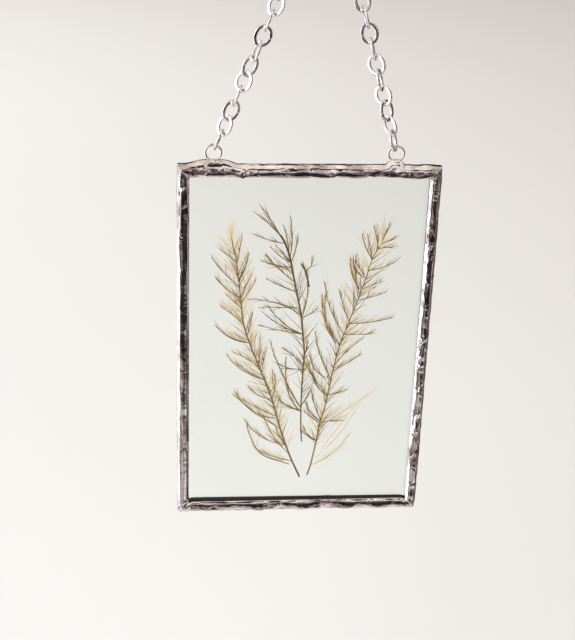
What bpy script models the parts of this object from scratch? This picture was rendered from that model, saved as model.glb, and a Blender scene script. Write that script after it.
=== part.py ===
"""Pressed flower frame: two small panes of glass with three pressed fern sprigs between them.

The edge is wrapped in copper foil tape and thickly soldered. Two jump rings are soldered to
the top bar, and a chain of flattened oval links runs from one ring to the other.

Metres, +Z up, front towards -Y. The origin is where the chain hangs: the underside of its
middle link.
"""

from math import asin, atan2, cos, exp, pi, radians, sin

import bmesh
import bpy
from mathutils import Matrix, Vector
from mathutils.geometry import delaunay_2d_cdt

MM = 0.001

# Glass
PANE_WIDTH = 0.1016
PANE_HEIGHT = 0.1524
PANE_THICKNESS = 0.0020
PANE_GAP = 0.0008
PANE_ARRIS = 0.00015
STACK_HALF = PANE_GAP / 2 + PANE_THICKNESS

# Foil tape, a thin channel around the edge of the glass
SKIN_GAP = 0.00005
FOIL_THICKNESS = 0.0001
FOIL_OVERLAP = 0.0040
FOIL_INNER = STACK_HALF + SKIN_GAP
FOIL_OUTER = FOIL_INNER + FOIL_THICKNESS

# Solder over the foil
SOLDER_SEAT = FOIL_OUTER + SKIN_GAP
SOLDER_EDGE_SEAT = SOLDER_SEAT - STACK_HALF
SOLDER_OVERLAP = 0.00395
SOLDER_REACH = 0.0010
SOLDER_REACH_WAVE = 0.00025
SOLDER_CROWN = 0.00080
SOLDER_CROWN_WAVE = 0.00015
SOLDER_SHOULDER = 0.0016
CROWN_PLACE = 0.6
EDGE_CROWN_SHARE = 0.7
REACH_WAVE_LENGTH = 0.031
CROWN_WAVE_LENGTH = 0.023
SWELLS = ((0.5, 1.0), (0.3, 1.7), (0.2, 3.1))
SOLDER_STEP = 0.0060
CORNER_STEP = 0.0018
CORNER_FAN = 0.0052

# Jump rings, half sunk in a mound of solder
RING_RADIUS = 0.00305
RING_WIRE = 0.00045
RING_LEFT_X = -0.0378
RING_RIGHT_X = 0.0332
RING_LIFT = 0.00445
RING_SEAT_GAP = 0.0001
RING_SEGMENTS = 24
MOUND_TOP = 0.00165
MOUND_HALF_DEPTH = 0.0012
MOUND_STEEPNESS = 2.2
MOUNDS = ((RING_LEFT_X, 0.0082), (RING_RIGHT_X, 0.0032))
MOUND_STATIONS = (-1.35, -1.0, -0.75, -0.5, -0.25, 0.0, 0.25, 0.5, 0.75, 1.0, 1.35)
MOUND_CLEARANCE = 1.6

# Chain of flattened oval links
LINK_PITCH = 0.00610
LINK_PLAY = 0.0001
LINK_WIDTH = 0.0070
LINK_WIRE_WIDTH = 0.00130
LINK_WIRE_THICKNESS = 0.00088
LINK_FLAT = 0.62
LINK_INNER_HALF = (LINK_PITCH + LINK_PLAY) / 2
LINK_HALF = LINK_INNER_HALF + LINK_WIRE_WIDTH / 2
LINK_SEGMENTS = 12
LEG_LINKS = 16
RING_PLAY = 0.0003
TOP_LINK_TILT = radians(27)
TOP_LINK_PLAY = 0.00005

# Roll of each link about its leg, in degrees from facing the front, from the ring upwards
LEFT_ROLLS = (78, 136, 20, 85, 150, 30, 100, 5, 82, 145, 75, 160, 95, 15, 95, 10)
RIGHT_ROLLS = (64, 126, 38, 150, 70, 155, 80, 5, 92, 20, 95, 165, 85, 5, 92, 10)

# Sprigs, pressed flat, each in a layer of its own. Stem points are millimetres from the
# middle of the glass, base first.
SPRIG_THICKNESS = 0.0002
SPRIG_LAYER = 0.00025
STEM_BASE_WIDTH = 0.70
STEM_TIP_WIDTH = 0.30
SHOOT_BASE_WIDTH = 0.50
SHOOT_TIP_WIDTH = 0.16
STEM_SAMPLES = 2
SHOOT_SPAN = 6.5
UNION_TOLERANCE = 0.02

LEFT_STEM = (
    (0.5, -61.5), (-8.5, -38), (-18, -9.5), (-25, 11.5), (-27, 27.5), (-30, 45), (-31, 55),
)
MIDDLE_STEM = (
    (1, -44.5), (0, -29), (0.5, -3.5), (-1, 12), (-5.5, 33.5), (-9, 45), (-18, 58),
)
RIGHT_STEM = (
    (4, -61), (7, -44.5), (13, -9), (21, 19), (26.5, 38.5), (30, 46.5), (30.5, 58),
)

# Side shoots: how far up the stem, length in millimetres, lean away from the stem at the
# shoot's foot and at its tip in degrees. A positive lean is to the left.
LEFT_SHOOTS = (
    (0.06, 15, 52, 34), (0.09, 24, 44, 8), (0.13, 22, 48, 14), (0.21, 27, 42, 26),
    (0.26, 17, 54, 37), (0.33, 12, 60, 20), (0.41, 20, 50, 22), (0.46, 13.5, 42, 36),
    (0.56, 17, 62, 18), (0.63, 14, 46, 44), (0.69, 11, 60, 45), (0.74, 14, 54, 30),
    (0.79, 17, 44, 25), (0.87, 9, 48, 44),
    (0.33, 12, -36, -8), (0.45, 12, -30, -26), (0.59, 10, -36, -15), (0.71, 12, -38, -32),
    (0.79, 13, -34, -12), (0.86, 12, -22, -17), (0.93, 9, 20, 6), (0.94, 8, -22, -8),
)
MIDDLE_SHOOTS = (
    (0.14, 25, 72, 8), (0.155, 34, 28, 10), (0.16, 10, -34, -18), (0.32, 12, 90, 60),
    (0.335, 13, 38, 56), (0.38, 8, -24, -4), (0.47, 19, 76, 68), (0.48, 20, 62, 28),
    (0.54, 8, -78, -52), (0.55, 25, -27, 12), (0.56, 24, 46, 78), (0.65, 14.5, 58, 44),
    (0.69, 17, 44, 26), (0.755, 12.5, 74, 56), (0.78, 10, 40, 28), (0.79, 18, -26, -4),
    (0.86, 13, 56, 38), (0.88, 16, 10, 24), (0.9, 14, -12, 2),
)
RIGHT_SHOOTS = (
    (0.04, 22, -52, -12), (0.14, 9, 66, 30), (0.2, 28, -44, -36), (0.215, 10, -70, -80),
    (0.22, 15, 46, 22), (0.32, 21, 50, 32), (0.38, 23, 40, 15), (0.41, 15, -50, -44),
    (0.44, 17, -26, -40), (0.51, 26, 54, 2), (0.55, 25, 52, 24), (0.56, 13, -76, -62),
    (0.6, 19, -68, -58), (0.61, 15, 44, 31), (0.68, 12, -62, -50), (0.7, 18, 42, 10),
    (0.73, 9, -50, -50), (0.79, 13, -72, -38), (0.83, 12, 50, 28), (0.88, 7, -50, -62),
    (0.885, 10, 36, 44), (0.93, 8, 18, 6), (0.93, 8, -26, -14),
)


# Where the chain puts the frame: two legs of equal length stand on the rings as the equal
# sides of a triangle, whose base is the ring spacing less the tilted middle link.
def lay_out_chain():
    """Return the leg directions, the middle link's centre and the middle of the glass."""
    reach_at_ring = RING_RADIUS - RING_WIRE - RING_PLAY - LINK_WIRE_WIDTH / 2 + LINK_HALF
    reach_at_top = LINK_INNER_HALF - LINK_WIRE_WIDTH / 2 - TOP_LINK_PLAY
    leg = reach_at_ring + (LEG_LINKS - 1) * LINK_PITCH + reach_at_top
    top_axis = Vector((cos(TOP_LINK_TILT), 0, sin(TOP_LINK_TILT)))
    base = Vector((RING_RIGHT_X - RING_LEFT_X, 0, 0)) - 2 * LINK_HALF * top_axis
    mean_lean = asin(base.length / (2 * leg))
    skew = atan2(-base.z, base.x)
    left_up = Vector((sin(mean_lean + skew), 0, cos(mean_lean + skew)))
    right_up = Vector((-sin(mean_lean - skew), 0, cos(mean_lean - skew)))
    top_normal = Vector((-sin(TOP_LINK_TILT), 0, cos(TOP_LINK_TILT)))
    top_centre = top_normal * LINK_WIRE_THICKNESS / 2
    ring_left = top_centre - LINK_HALF * top_axis - leg * left_up
    middle = ring_left - Vector((RING_LEFT_X, 0, PANE_HEIGHT / 2 + SOLDER_REACH + RING_LIFT))
    return left_up, right_up, top_axis, top_centre, reach_at_ring, middle


LEFT_UP, RIGHT_UP, TOP_AXIS, TOP_CENTRE, RING_REACH, MIDDLE = lay_out_chain()
RING_Z = PANE_HEIGHT / 2 + SOLDER_REACH + RING_LIFT
RING_LEFT = MIDDLE + Vector((RING_LEFT_X, 0, RING_Z))
RING_RIGHT = MIDDLE + Vector((RING_RIGHT_X, 0, RING_Z))


def material(name, colour, roughness, metallic=0.0, transmission=0.0):
    made = bpy.data.materials.new(name)
    made.use_nodes = True
    shader = made.node_tree.nodes["Principled BSDF"]
    shader.inputs["Base Color"].default_value = (*colour, 1.0)
    shader.inputs["Roughness"].default_value = roughness
    shader.inputs["Metallic"].default_value = metallic
    shader.inputs["Transmission Weight"].default_value = transmission
    return made


def add_object(name, mesh, surface, placing=None):
    placed = bpy.data.objects.new(name, mesh)
    if not mesh.materials:
        mesh.materials.append(surface)
    placed.matrix_world = placing or Matrix.Identity(4)
    bpy.context.scene.collection.objects.link(placed)
    return placed


def mesh_from(name, shape, smooth_angle=None):
    bmesh.ops.recalc_face_normals(shape, faces=shape.faces)
    mesh = bpy.data.meshes.new(name)
    shape.to_mesh(mesh)
    shape.free()
    if smooth_angle:
        mesh.shade_smooth()
        mesh.set_sharp_from_angle(angle=smooth_angle)
    return mesh


def swept_ring(shape, sections):
    """Skin a closed run of equal closed sections, each a list of points."""
    rows = [[shape.verts.new(point) for point in section] for section in sections]
    for row, next_row in zip(rows, rows[1:] + rows[:1]):
        for k in range(len(row)):
            after = (k + 1) % len(row)
            shape.faces.new((row[k], next_row[k], next_row[after], row[after]))


# Glass
def make_pane(name, depth, surface):
    shape = bmesh.new()
    size = Matrix.Diagonal((PANE_WIDTH, PANE_THICKNESS, PANE_HEIGHT, 1))
    bmesh.ops.create_cube(shape, size=1, matrix=size)
    pane = add_object(name, mesh_from(name, shape), surface)
    pane.location = MIDDLE + Vector((0, depth, 0))
    arris = pane.modifiers.new("arris", "BEVEL")
    arris.width = PANE_ARRIS
    arris.segments = 1


# The edge: every section is a list of (inward from the edge of the glass, depth) pairs
def edge_stations():
    """Yield (place on the edge of the glass, inward direction, distance run) clockwise."""
    half_w = PANE_WIDTH / 2
    half_h = PANE_HEIGHT / 2
    corners = [(-half_w, half_h), (half_w, half_h), (half_w, -half_h), (-half_w, -half_h)]
    mounds = [x + spread * k for x, spread in MOUNDS for k in MOUND_STATIONS]
    run = 0.0
    for side in range(4):
        start = Vector(corners[side])
        end = Vector(corners[(side + 1) % 4])
        along = (end - start).normalized()
        inward = Vector((along.y, -along.x))
        length = (end - start).length
        yield start, along + inward, run
        count = round((length - 2 * CORNER_STEP) / SOLDER_STEP)
        steps = [
            CORNER_STEP + (length - 2 * CORNER_STEP) * k / count for k in range(count + 1)
        ]
        if side == 0:
            steps = [
                s for s in steps
                if all(abs(s - half_w - x) > MOUND_CLEARANCE * spread for x, spread in MOUNDS)
            ]
            steps = sorted(steps + [x + half_w for x in mounds])
        for step in steps:
            fan = max(0.0, 1 - step / CORNER_FAN) - max(0.0, 1 - (length - step) / CORNER_FAN)
            yield start + along * step, inward + along * fan, run + step
        run += length


def at_edge(place, inward, offset, depth):
    spot = place + inward * offset
    return MIDDLE + Vector((spot.x, depth, spot.y))


def make_foil(surface):
    half_w = PANE_WIDTH / 2
    half_h = PANE_HEIGHT / 2
    outside = -SKIN_GAP - FOIL_THICKNESS
    section = [
        (FOIL_OVERLAP, -FOIL_OUTER), (outside, -FOIL_OUTER),
        (outside, FOIL_OUTER), (FOIL_OVERLAP, FOIL_OUTER),
        (FOIL_OVERLAP, FOIL_INNER), (-SKIN_GAP, FOIL_INNER),
        (-SKIN_GAP, -FOIL_INNER), (FOIL_OVERLAP, -FOIL_INNER),
    ]
    shape = bmesh.new()
    corners = [(-1, 1), (1, 1), (1, -1), (-1, -1)]
    swept_ring(shape, [
        [at_edge(Vector((sx * half_w, sz * half_h)), Vector((-sx, -sz)), a, y)
         for a, y in section]
        for sx, sz in corners
    ])
    add_object("foil_tape", mesh_from("foil_tape", shape), surface)


def wave(run, longest, phase):
    """Uneven swell of the solder between -1 and 1, as it froze in overlapping puddles."""
    turn = 2 * pi * run / longest
    return sum(share * sin(rate * (turn + phase)) for share, rate in SWELLS)


def mound(place, inward):
    """How much solder is heaped at this place of the top bar, from 0 to 1."""
    if inward.y > -0.5 or abs(inward.x) > 0.5:
        return 0.0
    return max(exp(-abs((place.x - x) / spread) ** 3 * MOUND_STEEPNESS) for x, spread in MOUNDS)


def solder_section(place, inward, run):
    heap = mound(place, inward)
    reach = SOLDER_REACH + SOLDER_REACH_WAVE * wave(run, REACH_WAVE_LENGTH, 0.4) * (1 - heap)
    shoulder_depth = SOLDER_SHOULDER * (1 - heap) + MOUND_HALF_DEPTH * heap
    section = [(-SOLDER_EDGE_SEAT, SOLDER_SEAT), (-SOLDER_EDGE_SEAT, -SOLDER_SEAT)]
    for side, phase in ((-1, 0.0), (1, 2.1)):
        crown = SOLDER_CROWN + SOLDER_CROWN_WAVE * wave(run, CROWN_WAVE_LENGTH, phase)
        half = [
            (SOLDER_OVERLAP, SOLDER_SEAT),
            (CROWN_PLACE * SOLDER_OVERLAP, SOLDER_SEAT + crown),
            (-SOLDER_EDGE_SEAT, SOLDER_SEAT + EDGE_CROWN_SHARE * crown),
            (-reach - MOUND_TOP * heap, shoulder_depth),
        ]
        half = [(a, side * y) for a, y in half]
        section += half if side < 0 else half[::-1]
    return [at_edge(place, inward, a, y) for a, y in section]


def torus(centre, radius, wire, around, across):
    """A closed ring of round wire in the plane of the frame."""
    shape = bmesh.new()
    sections = []
    for k in range(around):
        turn = 2 * pi * k / around
        out = Vector((cos(turn), 0, sin(turn)))
        sections.append([
            centre + out * (radius + wire * cos(2 * pi * j / across))
            + Vector((0, wire * sin(2 * pi * j / across), 0))
            for j in range(across)
        ])
    swept_ring(shape, sections)
    return shape


def make_solder(surface):
    shape = bmesh.new()
    swept_ring(shape, [solder_section(*station) for station in edge_stations()])
    solder = add_object("solder_edge", mesh_from("solder_edge", shape, radians(40)), surface)
    for side, centre in (("left", RING_LEFT), ("right", RING_RIGHT)):
        groove = torus(centre, RING_RADIUS, RING_WIRE + RING_SEAT_GAP, RING_SEGMENTS, 6)
        cutter = add_object(f"groove_{side}", mesh_from("groove", groove), surface)
        cutter.hide_render = True
        cutter.display_type = "WIRE"
        cut = solder.modifiers.new(f"groove_{side}", "BOOLEAN")
        cut.operation = "DIFFERENCE"
        cut.solver = "EXACT"
        cut.object = cutter


def make_rings(surface):
    for side, centre in (("left", RING_LEFT), ("right", RING_RIGHT)):
        shape = torus(centre, RING_RADIUS, RING_WIRE, RING_SEGMENTS, 6)
        add_object(f"ring_{side}", mesh_from("ring", shape, radians(60)), surface)


# Chain
def link_mesh():
    """An oval link lying in local XY, long along X, its wire pressed flat."""
    half_width = (LINK_WIDTH - LINK_WIRE_WIDTH) / 2
    wide = LINK_WIRE_WIDTH / 2
    thick = LINK_WIRE_THICKNESS / 2
    wire = [
        (wide, 0), (LINK_FLAT * wide, thick), (-LINK_FLAT * wide, thick),
        (-wide, 0), (-LINK_FLAT * wide, -thick), (LINK_FLAT * wide, -thick),
    ]
    shape = bmesh.new()
    sections = []
    for k in range(LINK_SEGMENTS):
        turn = 2 * pi * k / LINK_SEGMENTS
        spine = Vector((LINK_HALF * cos(turn), half_width * sin(turn), 0))
        out = Vector((cos(turn) / LINK_HALF, sin(turn) / half_width, 0)).normalized()
        sections.append([spine + out * a + Vector((0, 0, b)) for a, b in wire])
    swept_ring(shape, sections)
    return mesh_from("chain_link", shape, radians(35))


def link_placing(centre, along, roll):
    """Place a link with its long axis along its leg, rolled about that axis."""
    front = Vector((0, -1, 0))
    aside = along.cross(front)
    normal = front * cos(roll) + aside * sin(roll)
    across = normal.cross(along)
    turned = Matrix((along, across, normal)).transposed().to_4x4()
    return Matrix.Translation(centre) @ turned


def make_chain(surface):
    mesh = link_mesh()
    for side, ring, up, rolls in (
        ("left", RING_LEFT, LEFT_UP, LEFT_ROLLS),
        ("right", RING_RIGHT, RIGHT_UP, RIGHT_ROLLS),
    ):
        for k, roll in enumerate(rolls):
            centre = ring + up * (RING_REACH + k * LINK_PITCH)
            placing = link_placing(centre, up, radians(roll))
            add_object(f"chain_{side}_{k + 1:02d}", mesh, surface, placing)
    across = Vector((0, 1, 0))
    turned = Matrix((TOP_AXIS, across, TOP_AXIS.cross(across))).transposed().to_4x4()
    add_object("chain_middle", mesh, surface, Matrix.Translation(TOP_CENTRE) @ turned)


# Sprigs
def smooth_path(points, samples):
    """Run a smooth curve through the points, with the given samples to each span."""
    points = [Vector(p) for p in points]
    padded = [2 * points[0] - points[1], *points, 2 * points[-1] - points[-2]]
    path = []
    for k in range(len(points) - 1):
        a, b, c, d = padded[k:k + 4]
        for j in range(samples):
            t = j / samples
            path.append(0.5 * (
                2 * b + (c - a) * t + (2 * a - 5 * b + 4 * c - d) * t ** 2
                + (3 * b - a - 3 * c + d) * t ** 3
            ))
    return path + [points[-1]]


def along_path(path, fraction):
    """Return the point and the heading at a fraction of the path's length."""
    lengths = [(b - a).length for a, b in zip(path, path[1:])]
    left = fraction * sum(lengths)
    for a, b, length in zip(path, path[1:], lengths):
        if left <= length:
            return a.lerp(b, left / length), atan2(b.y - a.y, b.x - a.x)
        left -= length
    return path[-1], atan2(path[-1].y - path[-2].y, path[-1].x - path[-2].x)


def shoot_path(stem, fraction, length, lean_foot, lean_tip):
    point, heading = along_path(stem, fraction)
    spans = max(2, round(length / SHOOT_SPAN))
    path = [point]
    for k in range(spans):
        share = (k + 0.5) / spans
        turn = heading + radians(lean_foot + (lean_tip - lean_foot) * share)
        path.append(path[-1] + Vector((cos(turn), sin(turn))) * length / spans)
    return path


def ribbon(path, foot_width, tip_width):
    """Outline of a tapering flat strip along a path."""
    left = []
    right = []
    for k, point in enumerate(path):
        before = path[max(k - 1, 0)]
        after = path[min(k + 1, len(path) - 1)]
        heading = (after - before).normalized()
        half = (foot_width + (tip_width - foot_width) * k / (len(path) - 1)) / 2
        side = Vector((-heading.y, heading.x)) * half
        left.append(point + side)
        right.append(point - side)
    return right + left[::-1]


def make_sprig(name, stem_points, shoots, depth, surface):
    """Unite the flat strips of stem and shoots in one sheet and give it thickness."""
    stem = smooth_path(stem_points, STEM_SAMPLES)
    strips = [ribbon(stem, STEM_BASE_WIDTH, STEM_TIP_WIDTH)]
    for shoot in shoots:
        strips.append(ribbon(shoot_path(stem, *shoot), SHOOT_BASE_WIDTH, SHOOT_TIP_WIDTH))
    points = []
    outlines = []
    for strip in strips:
        outlines.append([len(points) + k for k in range(len(strip))])
        points += strip
    flat, _, triangles, _, _, sources = delaunay_2d_cdt(
        points, [], outlines, 0, UNION_TOLERANCE, True
    )
    shape = bmesh.new()
    verts = {}
    for triangle, source in zip(triangles, sources):
        if not source:
            continue
        for k in triangle:
            if k not in verts:
                verts[k] = shape.verts.new((flat[k].x * MM, -SPRIG_THICKNESS / 2, flat[k].y * MM))
        shape.faces.new([verts[k] for k in triangle])
    back = bmesh.ops.extrude_face_region(shape, geom=shape.faces[:])
    moved = [e for e in back["geom"] if isinstance(e, bmesh.types.BMVert)]
    bmesh.ops.translate(shape, verts=moved, vec=(0, SPRIG_THICKNESS, 0))
    sprig = add_object(name, mesh_from(name, shape), surface)
    sprig.location = MIDDLE + Vector((0, depth, 0))


def clear_scene():
    for old in list(bpy.data.objects):
        bpy.data.objects.remove(old, do_unlink=True)


def main():
    clear_scene()
    glass = material("glass", (0.93, 0.97, 0.95), 0.02, transmission=1.0)
    make_pane("pane_front", -(PANE_GAP + PANE_THICKNESS) / 2, glass)
    make_pane("pane_back", (PANE_GAP + PANE_THICKNESS) / 2, glass)
    make_foil(material("foil", (0.03, 0.03, 0.035), 0.5, metallic=0.2))
    make_solder(material("solder", (0.78, 0.77, 0.76), 0.12, metallic=1.0))
    make_rings(material("ring", (0.82, 0.82, 0.83), 0.1, metallic=1.0))
    make_chain(material("chain", (0.85, 0.85, 0.86), 0.12, metallic=1.0))
    straw = material("straw", (0.72, 0.6, 0.36), 0.8)
    make_sprig("sprig_left", LEFT_STEM, LEFT_SHOOTS, -SPRIG_LAYER, straw)
    olive = material("olive", (0.42, 0.32, 0.12), 0.8)
    make_sprig("sprig_middle", MIDDLE_STEM, MIDDLE_SHOOTS, 0.0, olive)
    pale = material("pale_straw", (0.66, 0.56, 0.34), 0.8)
    make_sprig("sprig_right", RIGHT_STEM, RIGHT_SHOOTS, SPRIG_LAYER, pale)


main()
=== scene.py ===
"""Looks of the pressed flower frame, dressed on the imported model.

Metres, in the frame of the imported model: +Z up, front towards -Y. The routes of the sprigs are
written in millimetres from the middle of the glass, +X right and +Z up.
"""

from collections import namedtuple
from math import atan2, cos, exp, pi, radians, sin
from random import Random

import bpy
import numpy as np
from mathutils import Matrix, Vector, noise


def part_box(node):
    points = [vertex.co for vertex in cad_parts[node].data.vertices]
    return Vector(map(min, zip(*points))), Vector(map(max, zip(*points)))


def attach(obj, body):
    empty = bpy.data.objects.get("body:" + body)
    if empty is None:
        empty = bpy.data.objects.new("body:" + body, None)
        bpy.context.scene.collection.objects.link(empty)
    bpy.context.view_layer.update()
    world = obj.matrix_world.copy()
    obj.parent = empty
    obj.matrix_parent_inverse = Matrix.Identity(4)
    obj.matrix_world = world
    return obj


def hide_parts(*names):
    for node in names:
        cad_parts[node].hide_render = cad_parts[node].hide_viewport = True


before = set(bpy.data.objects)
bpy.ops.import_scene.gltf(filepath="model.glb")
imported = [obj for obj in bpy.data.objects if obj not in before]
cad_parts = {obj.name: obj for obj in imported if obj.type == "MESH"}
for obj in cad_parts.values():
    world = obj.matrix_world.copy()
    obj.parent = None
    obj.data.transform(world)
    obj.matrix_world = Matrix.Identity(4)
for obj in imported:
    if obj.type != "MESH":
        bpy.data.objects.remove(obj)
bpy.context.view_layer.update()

MM = 0.001

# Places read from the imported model
PANE_LOW, PANE_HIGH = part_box("pane_front")
BACK_PANE_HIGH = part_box("pane_back")[1]
MIDDLE = Vector(((PANE_LOW.x + PANE_HIGH.x) / 2, 0.0, (PANE_LOW.z + PANE_HIGH.z) / 2))
HALF_WIDTH = (PANE_HIGH.x - PANE_LOW.x) / 2
HALF_HEIGHT = (PANE_HIGH.z - PANE_LOW.z) / 2
STACK_HALF = BACK_PANE_HIGH.y

# Camera, fitted to the corners of the frame in the photograph, which is IMAGE_HEIGHT pixels high.
# Its place is from the middle of the glass.
IMAGE_HEIGHT = 640
FOCAL_PIXELS = 1270.0
SENSOR_HEIGHT = 24.0
CAMERA_PLACE = Vector((-0.05708, -0.47202, 0.21646))
CAMERA_PITCH = radians(23.469)
CAMERA_YAW = radians(5.569)
CAMERA_ROLL = radians(0.376)

# Stage
FLOOR_Z = -0.45
FLOOR_RADIUS = 3.4
FLOOR_RINGS = 6
BOWL_RADIUS = 2.6
BOWL_SIDES = 96
BOWL_STEPS = 16

# Where the middle and the pale colour of a plant stand in its range of tones, from 0 to 1
MIDDLE_TONE = 0.4
PALE_TONE = 0.78


# Nodes of a material or a world
def add_node(tree, kind, inputs=None, **settings):
    """Add a shader node, with its settings, and with values or links for its inputs, which go
    by name or by number."""
    node = tree.nodes.new("ShaderNode" + kind)
    for name, value in settings.items():
        setattr(node, name, value)
    for key, value in (inputs or {}).items():
        if isinstance(value, bpy.types.NodeSocket):
            tree.links.new(value, node.inputs[key])
        else:
            node.inputs[key].default_value = value
    return node


def new_material(name, **values):
    """A material with one Principled shader, whose sockets take the given values."""
    made = bpy.data.materials.new(name)
    made.use_nodes = True
    shader = made.node_tree.nodes["Principled BSDF"]
    for socket, value in values.items():
        shader.inputs[socket.replace("_", " ")].default_value = value
    return made, made.node_tree, shader


def noise_value(tree, scale, detail=3.0, roughness=0.5, stretch=(1.0, 1.0, 1.0)):
    """Noise in the object's own space, between 0 and 1, with the given size and stretch."""
    place = add_node(tree, "TexCoord").outputs["Object"]
    placed = add_node(tree, "Mapping", {"Vector": place, "Scale": stretch})
    made = add_node(tree, "TexNoise", {
        "Vector": placed.outputs["Vector"], "Scale": scale, "Detail": detail,
        "Roughness": roughness,
    })
    return made.outputs["Fac"]


def in_range(tree, value, low, high, to_low=0.0, to_high=1.0):
    """Carry a value from one range over to another, eased at both ends."""
    made = add_node(tree, "MapRange", {
        "Value": value, "From Min": low, "From Max": high, "To Min": to_low, "To Max": to_high,
    }, interpolation_type="SMOOTHSTEP")
    return made.outputs["Result"]


def mixed(tree, share, first, second, blend="MIX"):
    """Mix two colours, each of them a value or a link."""
    node = add_node(tree, "Mix", {0: share, 6: first, 7: second}, data_type="RGBA",
                    blend_type=blend)
    return node.outputs[2]


def link_surface(tree, shader, colour, roughness, height, distance, strength):
    """Give a shader its colour, its roughness and a bump from a height."""
    bump = add_node(tree, "Bump", {"Height": height, "Distance": distance, "Strength": strength})
    tree.links.new(colour, shader.inputs["Base Color"])
    tree.links.new(roughness, shader.inputs["Roughness"])
    tree.links.new(bump.outputs["Normal"], shader.inputs["Normal"])


# Materials
def glass_material():
    """Float glass: clear, with a faint green cast from its depth and a haze of handling."""
    made, tree, shader = new_material(
        "float_glass", Base_Color=(1.0, 1.0, 1.0, 1.0), Transmission_Weight=1.0, IOR=1.52,
    )
    smudges = noise_value(tree, scale=38.0, detail=4.0, roughness=0.6)
    haze = in_range(tree, smudges, 0.55, 0.85, to_high=0.012)
    tree.links.new(haze, shader.inputs["Roughness"])
    depth = add_node(tree, "VolumeAbsorption", {
        "Color": (0.80, 0.94, 0.88, 1.0), "Density": 60.0,
    })
    tree.links.new(depth.outputs["Volume"], tree.nodes["Material Output"].inputs["Volume"])
    return made


def foil_material():
    """The black adhesive side of the foil, seen through the glass."""
    made, tree, shader = new_material("foil_backing", Metallic=0.1)
    grain = noise_value(tree, scale=900.0, detail=4.0, roughness=0.6)
    black = mixed(tree, grain, (0.004, 0.004, 0.005, 1), (0.02, 0.02, 0.022, 1))
    dullness = in_range(tree, grain, 0.3, 0.7, to_low=0.35, to_high=0.6)
    link_surface(tree, shader, black, dullness, grain, distance=0.00003, strength=0.4)
    return made


def solder_material():
    """Bright solder with a thin warm tarnish in patches and fine ripples in its skin."""
    made, tree, shader = new_material("solder_skin", Metallic=1.0)
    patches = noise_value(tree, scale=90.0, detail=4.0, roughness=0.55)
    patches = in_range(tree, patches, 0.46, 0.64)
    tarnish = mixed(tree, patches, (0.92, 0.89, 0.88, 1), (0.52, 0.46, 0.45, 1))
    polish = noise_value(tree, scale=420.0, detail=4.0, roughness=0.6)
    polish = in_range(tree, polish, 0.35, 0.75, to_low=0.03, to_high=0.10)
    ripples = noise_value(tree, scale=420.0)
    link_surface(tree, shader, tarnish, polish, ripples, distance=0.00008, strength=0.5)
    return made


def wire_material(name, tint):
    """Bright plated wire with fine rub marks."""
    made, tree, shader = new_material(name, Metallic=1.0)
    rubbed = noise_value(tree, scale=1500.0, detail=4.0, roughness=0.65, stretch=(0.2, 1.0, 1.0))
    worn = mixed(tree, in_range(tree, rubbed, 0.5, 0.8), (*tint, 1), (0.62, 0.60, 0.58, 1))
    polish = in_range(tree, rubbed, 0.3, 0.8, to_low=0.04, to_high=0.13)
    link_surface(tree, shader, worn, polish, rubbed, distance=0.00002, strength=0.35)
    return made


def plant_material(name, dark, middle, pale):
    """Dry plant, coloured by each strand's own tone and mottled all over."""
    made, tree, shader = new_material(name, Specular_IOR_Level=0.15)
    tone = add_node(tree, "Attribute", attribute_name="tone").outputs["Fac"]
    ramp = add_node(tree, "ValToRGB", {"Fac": tone})
    stops = ramp.color_ramp.elements
    stops[0].color = (*dark, 1)
    stops[1].color = (*pale, 1)
    stops[1].position = PALE_TONE
    stops.new(MIDDLE_TONE).color = (*middle, 1)
    mottle = noise_value(tree, scale=650.0, detail=4.0, roughness=0.6)
    shade = mixed(tree, in_range(tree, mottle, 0.3, 0.7), (0.88, 0.82, 0.68, 1), (1, 1, 1, 1))
    colour = mixed(tree, 1.0, ramp.outputs["Color"], shade, "MULTIPLY")
    dullness = in_range(tree, mottle, 0.3, 0.7, to_low=0.6, to_high=0.85)
    link_surface(tree, shader, colour, dullness, mottle, distance=0.00004, strength=0.6)
    return made


def floor_material():
    """Plain pale paint with faint clouds."""
    made, tree, shader = new_material("pale_floor", Roughness=0.9)
    cloud = noise_value(tree, scale=1.2)
    pale = mixed(tree, cloud, (0.53, 0.538, 0.546, 1), (0.555, 0.563, 0.571, 1))
    tree.links.new(pale, shader.inputs["Base Color"])
    return made


# Meshes
def mesh_object(name, points, faces, material, smooth=True):
    """Link an object with a mesh of these points and faces into the scene."""
    mesh = bpy.data.meshes.new(name)
    mesh.from_pydata([tuple(p) for p in points], [], faces)
    mesh.materials.append(material)
    if smooth:
        mesh.shade_smooth()
    made = bpy.data.objects.new(name, mesh)
    bpy.context.scene.collection.objects.link(made)
    return made


def loop_faces(rows, columns, closed_rows=True):
    """Quads between rows of closed sections, numbered row by row."""
    faces = []
    for i in range(rows if closed_rows else rows - 1):
        after = (i + 1) % rows
        for j in range(columns):
            k = (j + 1) % columns
            faces.append((i * columns + j, after * columns + j, after * columns + k,
                          i * columns + k))
    return faces


def dress(piece, body, slot, *nodes):
    """Let a piece move with a body and stand for its nodes. Its slot is not used."""
    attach(piece, body)
    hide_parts(*nodes)


# Solder round the edge. Places on its skin are given by the run round the edge, clockwise from
# the top left corner, and by the way across it, from the front inner edge over the outside to the
# back inner edge. The tape was laid by hand, so at the back it overlaps the glass by another
# width at each corner, and along the bottom it overlaps more, most so at the back.
TOP, RIGHT, BOTTOM, LEFT = range(4)
EDGE_SEAT = 0.0002
SEAT = STACK_HALF + EDGE_SEAT
OVERLAP = 0.00395
BACK_OVERLAPS = (0.0039, 0.0034, 0.0032, 0.00395)
LOW_EXTRA = 0.0003
LOW_EXTRA_BACK = 0.00051
STATION_STEP = 0.00038
INNER_STEPS = 11
OUTER_STEPS = 19

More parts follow.
